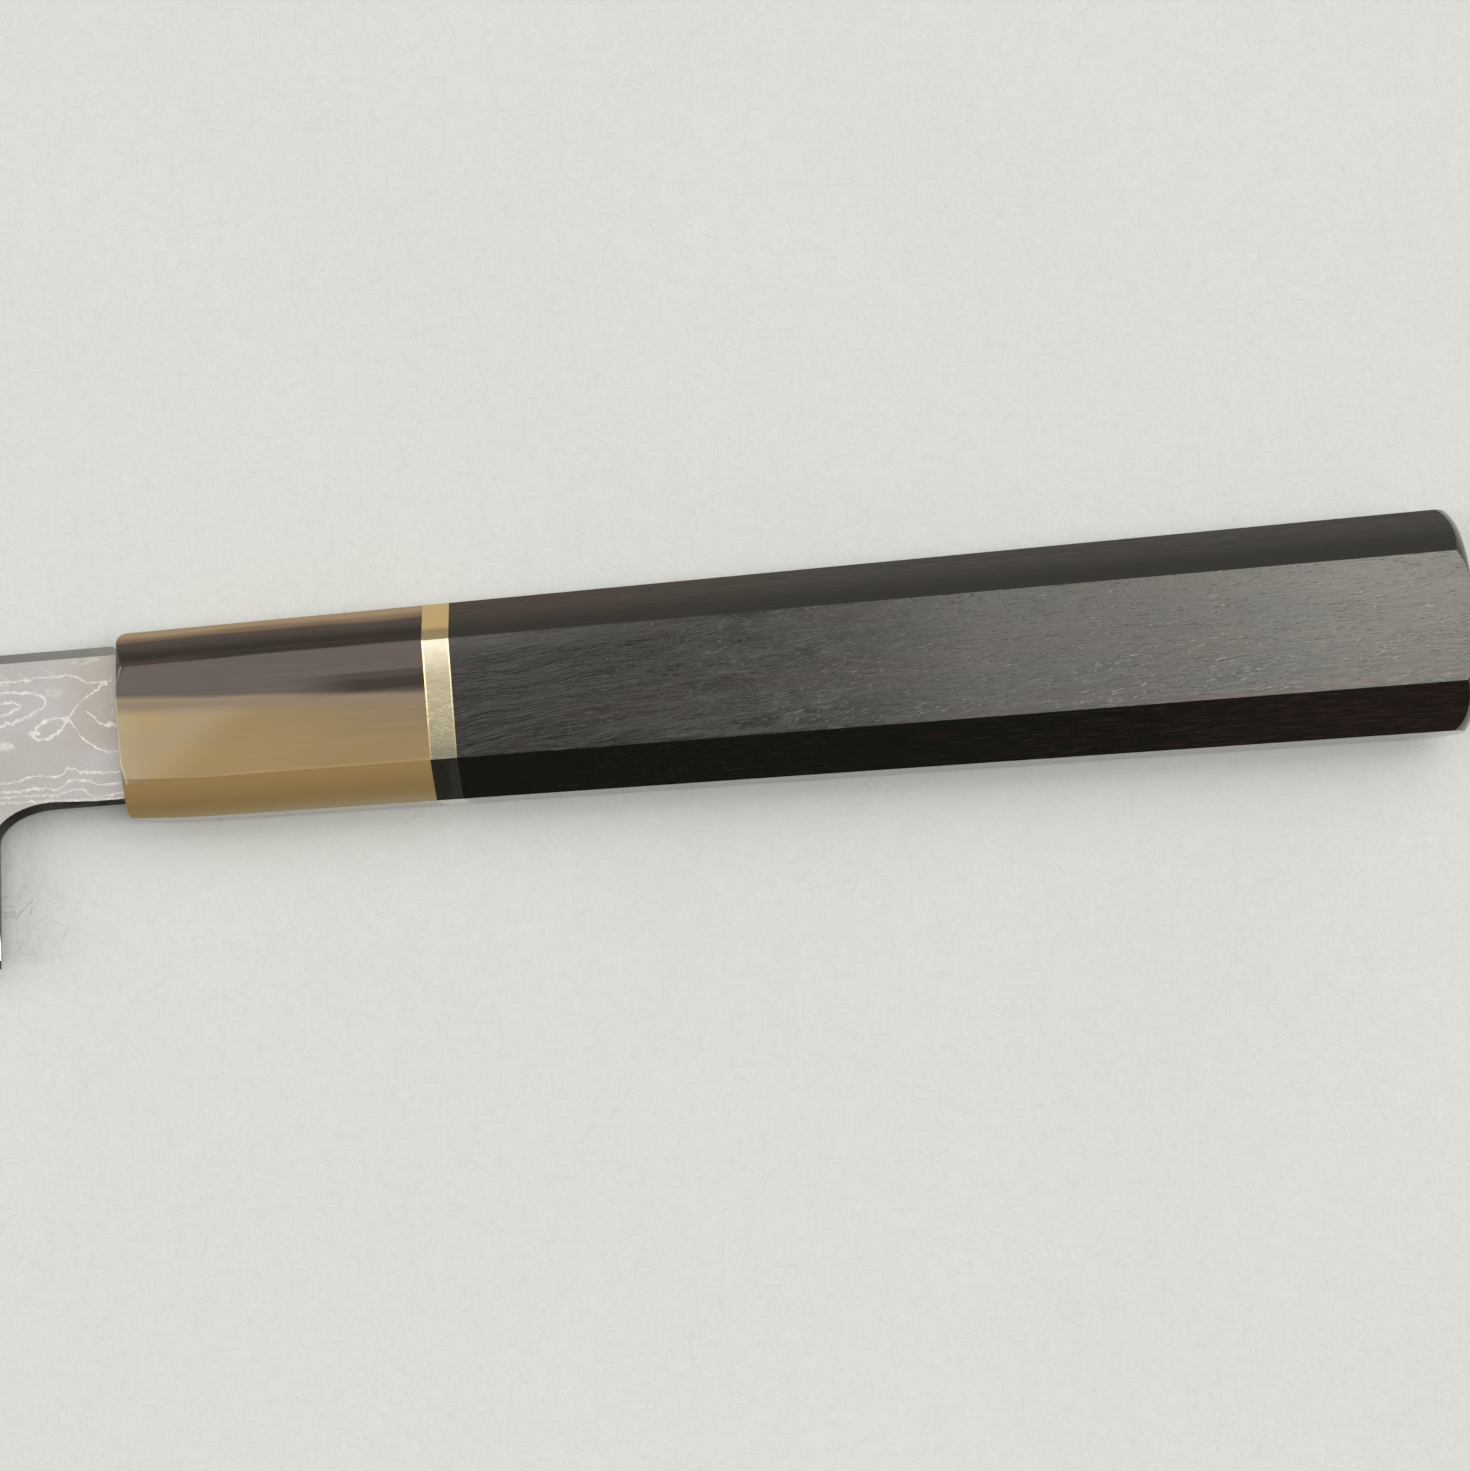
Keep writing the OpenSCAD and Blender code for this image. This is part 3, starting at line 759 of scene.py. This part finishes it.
# Pairs of tones, mixed by noise: wide faces, the spine side's bevel, the edge side's bevel, and end grain
EBONY_WIDE = ((0.0065, 0.0080, 0.0070, 1), (0.0135, 0.0115, 0.0100, 1))
EBONY_BROWN = ((0.027, 0.024, 0.019, 1), (0.043, 0.038, 0.031, 1))
EBONY_LOWER = ((0.0075, 0.0075, 0.0060, 1), (0.0150, 0.0105, 0.0085, 1))
END_GRAIN = ((0.0070, 0.0062, 0.0055, 1), (0.0165, 0.0125, 0.0100, 1))
# Single tones of the wide faces: streaks, a painted highlight high on the face near the ring, grain, pits
# lightened as painted glints, and flecks
EBONY_RED = (0.030, 0.0095, 0.0070, 1)
EBONY_HIGHLIGHT_PATCH = (0.052, 0.048, 0.042, 1)
EBONY_GRAIN = (0.022, 0.020, 0.017, 1)
EBONY_PIT_GLINT = (0.042, 0.041, 0.037, 1)
EBONY_FLECK = (0.16, 0.13, 0.11, 1)
# Where they show: by their noise, along X or Y, and at what strength
PATCHES = (0.40, 0.60)
RED_STREAKS = (0.50, 0.66)
RED_X = (75, 110, 0.1, 0.9)
HIGHLIGHT_PATCH_X = (62, 38)
HIGHLIGHT_PATCH_Y = (3.8, 6.0)
HIGHLIGHT_PATCH_STRENGTH = 0.8
RIDGES = (0.45, 0.75)
RIDGE_STRENGTH = 0.4
PITS = (0.52, 0.72)
PIT_GLINT_STRENGTH = 0.6
FLECKS = (0.83, 0.87, 0, 0.7)
# Single tones of the bevels: threads, warm wood and dashes near the ring, the inner side's painted dark
# reflection, dashes near the butt
EBONY_THREAD = (0.022, 0.017, 0.012, 1)
EBONY_WARM = (0.040, 0.024, 0.015, 1)
EBONY_DASH = (0.060, 0.030, 0.022, 1)
EBONY_INNER_DARK_REFLECTION = (0.0050, 0.0025, 0.0020, 1)
EBONY_LOWER_DASH = (0.030, 0.017, 0.013, 1)
# Where they show, where the brown starts past the inner side, and where the two sides meet
THREADS_SHOW = (0.40, 0.62, 0, 0.35)
WARM_X = (75, 40, 0, 0.7)
DASHES = (0.50, 0.62)
DASH_X = (70, 40, 0.1, 0.7)
LOWER_X = (90, 140)
LOWER_DASHES = (0.48, 0.66)
LOWER_DASH_X = (60, 130, 0.1, 0.9)
# Where they show, where the brown grows out of the inner side's painted dark reflection, and where the two
# sides meet
BROWN_FROM = (6.0, 9.0)
SIDES_MEET = (-1, 1)
# Pale specks of the end grain, and the X of a normal between which a face counts as the butt's end
END_SPECK = (0.032, 0.027, 0.022, 1)
SPECKS = (0.60, 0.72, 0, 0.6)
END_FACES = (0.55, 0.85)
# Height of the fine lines, what brings the mean of lines and pores to 0, and where cuts show
GRAIN_HEIGHT = 0.6
MEAN_TO_ZERO = 0.2
CUTS = (0.60, 0.70)
CUT_X = (70, 100, 0.4, 1.2)
# The edge side is smoother than the rest
SMOOTH_Y = (-6.2, -5.8, 0.2, 1.0)
# Tint of the ebony's gloss, its roughness, and what a pit adds to it
EBONY_TINT = (1.0, 0.95, 0.86, 1)
EBONY_ROUGH = (0.07, 0.11)
PIT_ROUGH = 0.07


def ebony_wide_tones(n, x, grained):
    """Wide faces: near black, with red streaks that show more towards the butt."""
    patches = n.noise(n.stretched(grained, *PATCH_GRAIN), detail=4, roughness=0.6)
    streaks = n.noise(n.stretched(grained, *RED_GRAIN), detail=4, roughness=0.55)
    red = n.math("MULTIPLY", n.step(streaks, *RED_STREAKS), n.step(x, *RED_X))
    return n.mix(red, n.mix(n.step(patches, *PATCHES), *EBONY_WIDE), EBONY_RED)


def ebony_side_tones(n, place, x, y):
    """Bevels: brown along the spine side, darkening towards its inner side as painted reflection, and darker
    on the edge side.
    """
    threads = n.noise(n.stretched(place, *EBONY_THREAD_GRAIN), detail=4, roughness=0.6)
    dashes = n.noise(n.stretched(place, *DASH_GRAIN), detail=3, roughness=0.6)
    brown = n.mix(n.step(dashes, *TONES), *EBONY_BROWN)
    brown = n.mix(n.step(threads, *THREADS_SHOW), brown, EBONY_THREAD)
    brown = n.mix(n.step(x, *WARM_X), brown, EBONY_WARM)
    reddish = n.math("MULTIPLY", n.step(x, *DASH_X), n.step(dashes, *DASHES))
    brown = n.mix(reddish, brown, EBONY_DASH)
    across = n.math("SUBTRACT", y, n.math("MULTIPLY", x, BAND_SLOPE))
    # Painted reflection: the spine side's bevel darkens towards the wide face
    spine_side = n.mix(n.step(across, *BROWN_FROM), EBONY_INNER_DARK_REFLECTION, brown)
    red = n.math("MULTIPLY", n.step(dashes, *LOWER_DASHES), n.step(x, *LOWER_DASH_X))
    edge_side = n.mix(red, n.mix(n.step(x, *LOWER_X), *EBONY_LOWER), EBONY_LOWER_DASH)
    return n.mix(n.step(y, *SIDES_MEET), edge_side, spine_side)


def ebony_end_tones(n, place):
    """End grain of the butt's face: rings of the wood, with pale specks."""
    rings = n.noise(n.stretched(place, *RING_GRAIN), detail=4, roughness=0.6)
    speck = n.noise(place, scale=3.2, detail=2)
    return n.mix(n.step(speck, *SPECKS), n.mix(n.step(rings, *TONES), *END_GRAIN), END_SPECK)


def ebony_height(n, x, y, grained, grain, pores):
    """Unevenness of the gloss: fine lines, pores, slow waves and short cuts, smoother on the edge side."""
    waves = n.swing(n.noise(n.stretched(grained, *SLOW_GRAIN), detail=2), n.curve(x, WAVE_LEVEL))
    cuts = n.noise(n.stretched(grained, *CUT_GRAIN), detail=1)
    cuts = n.math("MULTIPLY", n.step(cuts, *CUTS), n.step(x, *CUT_X))
    height = n.math("SUBTRACT", n.math("MULTIPLY", grain, GRAIN_HEIGHT), pores)
    height = n.math("ADD", n.math("ADD", height, MEAN_TO_ZERO), waves)
    height = n.math("SUBTRACT", height, cuts)
    return n.math("MULTIPLY", height, n.step(y, *SMOOTH_Y))


def ebony_material():
    """Oiled ebony: near black, with brown and red streaks and short fine pores along a wavy grain."""
    made, n, shader = material("oiled_ebony")
    place = n.place()
    x, y, z = n.parts(place)
    wave = n.noise(n.stretched(place, *CLIMB_GRAIN), detail=2)
    climb = n.math("SUBTRACT", n.math("MULTIPLY", wave, CLIMB_WAVE), n.curve(x, GRAIN_CLIMB))
    grained = n.add("ShaderNodeCombineXYZ", {"X": x, "Y": n.math("ADD", y, climb), "Z": z})
    grain = n.noise(n.stretched(grained, FINE_GRAIN), detail=3, roughness=0.6)
    pores = n.noise(n.stretched(grained, *PORE_GRAIN), detail=3, roughness=0.6)
    pit = n.step(pores, *PITS)
    flecks = n.noise(n.stretched(place, *FLECK_GRAIN), detail=1)
    beside = n.math("SUBTRACT", n.math("ABSOLUTE", y), n.math("MULTIPLY", x, WIDE_FACE_GROWTH))
    wide = n.step(beside, *WIDE_FACE_HALF, 1, 0)

    colour = n.mix(wide, ebony_side_tones(n, place, x, y), ebony_wide_tones(n, x, grained))
    # Painted highlight: a soft light patch high on the wide face near the ring
    highlight_patch = n.math("MULTIPLY", n.step(y, *HIGHLIGHT_PATCH_Y), n.step(x, *HIGHLIGHT_PATCH_X))
    highlight_patch = n.math("MULTIPLY", n.math("MULTIPLY", highlight_patch, wide), HIGHLIGHT_PATCH_STRENGTH)
    colour = n.mix(highlight_patch, colour, EBONY_HIGHLIGHT_PATCH)
    ridges = n.math("MULTIPLY", n.step(grain, *RIDGES), n.math("MULTIPLY", wide, RIDGE_STRENGTH))
    colour = n.mix(ridges, colour, EBONY_GRAIN)
    # Pores are real pits; their pale colour is painted glints
    pit_glints = n.math("MULTIPLY", pit, n.math("MULTIPLY", wide, PIT_GLINT_STRENGTH))
    colour = n.mix(pit_glints, colour, EBONY_PIT_GLINT)
    colour = n.mix(n.step(flecks, *FLECKS), colour, EBONY_FLECK)
    facing = n.parts(n.add("ShaderNodeTexCoord", output="Normal"))
    colour = n.mix(n.step(facing[0], *END_FACES), colour, ebony_end_tones(n, place))
    height = ebony_height(n, x, y, grained, grain, pores)
    rough = n.step(grain, *GLOSSES, *EBONY_ROUGH)
    dress(
        n,
        shader,
        Base_Color=colour,
        Roughness=n.math("ADD", rough, n.math("MULTIPLY", pit, PIT_ROUGH)),
        Specular_IOR_Level=0.43,
        Specular_Tint=EBONY_TINT,
        Normal=n.bump(height, n.curve(x, GRAIN_DEPTH)),
    )
    return made


# Two tones each, the dowel's grain, and the depth of their unevenness
DOWEL_WOOD = ((0.62, 0.47, 0.29, 1), (0.45, 0.31, 0.17, 1))
RESIN = ((0.10, 0.065, 0.03, 1), (0.17, 0.11, 0.05, 1))
DOWEL_GRAIN = (0.03, 1.1, 1.1)
HIDDEN_DEPTH = 0.05 * MM


def dowel_material():
    """Plain pale wood of the hidden dowel."""
    made, n, shader = material("dowel_wood")
    rings = n.noise(n.stretched(n.place(), DOWEL_GRAIN), detail=3)
    colour = n.mix(rings, *DOWEL_WOOD)
    dress(n, shader, Base_Color=colour, Roughness=0.6, Normal=n.bump(rings, HIDDEN_DEPTH))
    return made


def resin_material():
    """Amber resin that beds the tang."""
    made, n, shader = material("bedding_resin")
    cloud = n.noise(n.place(), scale=0.5, detail=3)
    colour = n.mix(cloud, *RESIN)
    dress(n, shader, Base_Color=colour, Roughness=0.4, Normal=n.bump(cloud, HIDDEN_DEPTH))
    return made


def put_on(node, finish):
    node.data.materials.clear()
    node.data.materials.append(finish)


def paper_material():
    """Matte pale paper with short soft fibres, light and dark, and faint clouds; behind the heel a crumpled
    patch whose stronger fibres are painted highlight and shade of its creases.
    """
    made, n, shader = material("pale_paper")
    place = n.place()
    soft = n.noise(place, scale=0.55, detail=4, roughness=0.6, distortion=1.5)
    cloud = n.noise(place, scale=0.03, detail=3)
    light, dark = [], []
    for turn in FIBRE_TURNS:
        turned = n.add("ShaderNodeMapping", {"Vector": place, "Rotation": (0, 0, turn)})
        strand = n.noise(n.stretched(turned, FIBRE_GRAIN), detail=2, distortion=1.0)
        light.append(n.step(strand, *FIBRE_PALE))
        dark.append(n.step(strand, *FIBRE_DARK))
    away = n.add("ShaderNodeVectorMath", {0: place, 1: CRUMPLE_AT}, output=1, operation="DISTANCE")
    away = n.math("ADD", away, n.math("MULTIPLY", soft, CRUMPLE_RAGGED))
    crumple_painted_shading = n.step(away, CRUMPLE_REACH, CRUMPLE_CORE)
    colour = n.mix(n.step(cloud, *WIDE_TONES), PAPER_CLOUD, PAPER_COLOUR)
    colour = n.mix(n.step(soft, *PAPER_SOFT), colour, PAPER_DARK)
    # Near the heel the fibres grow stronger as painted highlight and shade of crumpled creases
    light = n.math("MULTIPLY", n.most(light), n.math("MULTIPLY_ADD", crumple_painted_shading, *PALE_STRENGTH))
    dark = n.math("MULTIPLY", n.most(dark), n.math("MULTIPLY_ADD", crumple_painted_shading, *DARK_STRENGTH))
    colour = n.mix(dark, n.mix(light, colour, PAPER_LIGHT), PAPER_DARK)
    height = n.math("MULTIPLY_ADD", dark, DARK_HEIGHT, soft)
    dress(
        n,
        shader,
        Base_Color=colour,
        Roughness=0.9,
        Specular_IOR_Level=0.0,
        Normal=n.bump(height, PAPER_DEPTH),
    )
    return made


def make_paper():
    corners = []
    for x, y in ((-1, -1), (1, -1), (1, 1), (-1, 1)):
        at_x = x * PAPER_HALF
        corners.append((at_x, y * PAPER_HALF, -PAPER_BELOW - PAPER_SLOPE * at_x))
    mesh = bpy.data.meshes.new("paper")
    mesh.from_pydata(corners, [], [(0, 1, 2, 3)])
    paper = bpy.data.objects.new("paper", mesh)
    paper.data.materials.append(paper_material())
    bpy.context.scene.collection.objects.link(paper)


# Light of the room by the Y of its direction, and of the lamps overhead by Y/Z and X/Z
ROOM = (
    (-1, 0.025),
    (-0.95, 0.05),
    (-0.8, 0.14),
    (-0.4, 0.2),
    (0, 0.25),
    (0.5, 0.22),
    (0.8, 0.22),
    (0.97, 0.26),
    (1, 0.26),
)
LAMP_ACROSS = (
    (-0.24, 0),
    (-0.15, 0.75),
    (-0.08, 2.0),
    (-0.04, 2.05),
    (0.01, 0.95),
    (0.045, 0.43),
    (0.062, 0.52),
    (0.091, 0.96),
    (0.14, 0.80),
    (0.25, 0.50),
    (0.445, 0.235),
    (0.81, 0.036),
    (1.2, 0),
)
LAMP_ALONG = (
    (-1.2, 0.1),
    (-0.7, 0.24),
    (-0.16, 0.28),
    (-0.05, 0.28),
    (-0.02, 0.26),
    (0.01, 0.60),
    (0.05, 0.65),
    (0.1, 0.92),
    (0.14, 1.10),
    (0.2, 1.06),
    (0.4, 0.87),
    (0.7, 0.5),
    (1, 0.1),
    (1.4, 0),
)
# Strength of the lamps, and the Z of the direction between which they fade in
LAMP_LEVEL = 8.1
LAMP_LOW = (0.02, 0.2)
# The camera's shape in the lamps: from, to and softness along X/Z, edge along Y/Z, and how much it hides
SHAPE_ALONG = (-0.185, 0.015, 0.05)
SHAPE_ACROSS = (0.060, 0.094)
SHAPE_HIDES = 0.94
# The pale backdrop ends between these Z of the direction, and starts between these Y
BACKDROP_TOP = (0.15, 0.35)
BACKDROP_SIDE = (-0.45, -0.25)


def make_light():
    """A pale room, dark low on the edge's side, with soft lamps overhead and the camera's dark shape.

    Camera rays, metal and gloss see the pale backdrop low down."""
    world = bpy.data.worlds.new("room")
    world.use_nodes = True
    bpy.context.scene.world = world
    n = Nodes(world.node_tree)
    background = world.node_tree.nodes["Background"]
    x, y, z = n.parts(n.add("ShaderNodeTexCoord", output="Generated"))
    up = n.math("MAXIMUM", z, LEAST)
    over_x = n.math("DIVIDE", x, up)
    over_y = n.math("DIVIDE", y, up)
    lamp = n.math("MULTIPLY", n.curve(over_y, LAMP_ACROSS), n.curve(over_x, LAMP_ALONG))
    lamp = n.math("MULTIPLY", lamp, n.step(z, *LAMP_LOW, 0, LAMP_LEVEL))
    shape = n.math("MULTIPLY", n.window(over_x, *SHAPE_ALONG), n.step(over_y, *SHAPE_ACROSS, 1, 0))
    lamp = n.math("MULTIPLY", lamp, n.math("SUBTRACT", 1.0, n.math("MULTIPLY", shape, SHAPE_HIDES)))
    level = n.math("ADD", n.curve(y, ROOM), lamp)
    light = n.add("ShaderNodeCombineColor", {0: level, 1: level, 2: level})
    rays = ("Is Camera Ray", "Is Glossy Ray", "Is Transmission Ray")
    seen = n.most([n.add("ShaderNodeLightPath", output=ray) for ray in rays])
    backdrop = n.math("MULTIPLY", n.step(z, *BACKDROP_TOP, 1, 0), n.step(y, *BACKDROP_SIDE))
    n.feed(background.inputs["Color"], n.mix(n.math("MULTIPLY", seen, backdrop), light, PAPER_COLOUR))
    background.inputs["Strength"].default_value = 1.0


def make_camera():
    data = bpy.data.cameras.new("camera")
    data.lens = LENS
    data.sensor_width = SENSOR
    data.sensor_fit = "HORIZONTAL"
    data.clip_start = 0.01
    data.clip_end = 20
    camera = bpy.data.objects.new("camera", data)
    camera.location = Vector(CAMERA_AT)
    camera.rotation_mode = "ZYX"
    camera.rotation_euler = CAMERA_TURN
    bpy.context.scene.collection.objects.link(camera)
    bpy.context.scene.camera = camera


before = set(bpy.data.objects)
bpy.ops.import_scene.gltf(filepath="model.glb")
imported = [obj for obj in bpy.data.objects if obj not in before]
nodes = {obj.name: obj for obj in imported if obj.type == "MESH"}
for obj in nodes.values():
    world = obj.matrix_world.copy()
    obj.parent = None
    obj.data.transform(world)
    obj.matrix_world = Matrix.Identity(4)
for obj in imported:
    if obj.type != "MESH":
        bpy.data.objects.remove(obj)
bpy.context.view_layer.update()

make_camera()
make_paper()
make_light()
bpy.context.scene.view_settings.view_transform = "Standard"

polished, choil = polished_material(), choil_material()
dress_blade(nodes["left_cladding"], cladding_material("left_cladding", True), polished, choil)
dress_blade(nodes["right_cladding"], cladding_material("right_cladding", False), polished, choil)
dress_blade(nodes["core_steel"], core_material(), polished, choil)
put_on(nodes["horn_ferrule"], horn_material())
put_on(nodes["brass_spacer_ring"], brass_material())
put_on(nodes["ebony_grip"], ebony_material())
put_on(nodes["tenon_dowel"], dowel_material())
put_on(nodes["tang_bedding"], resin_material())
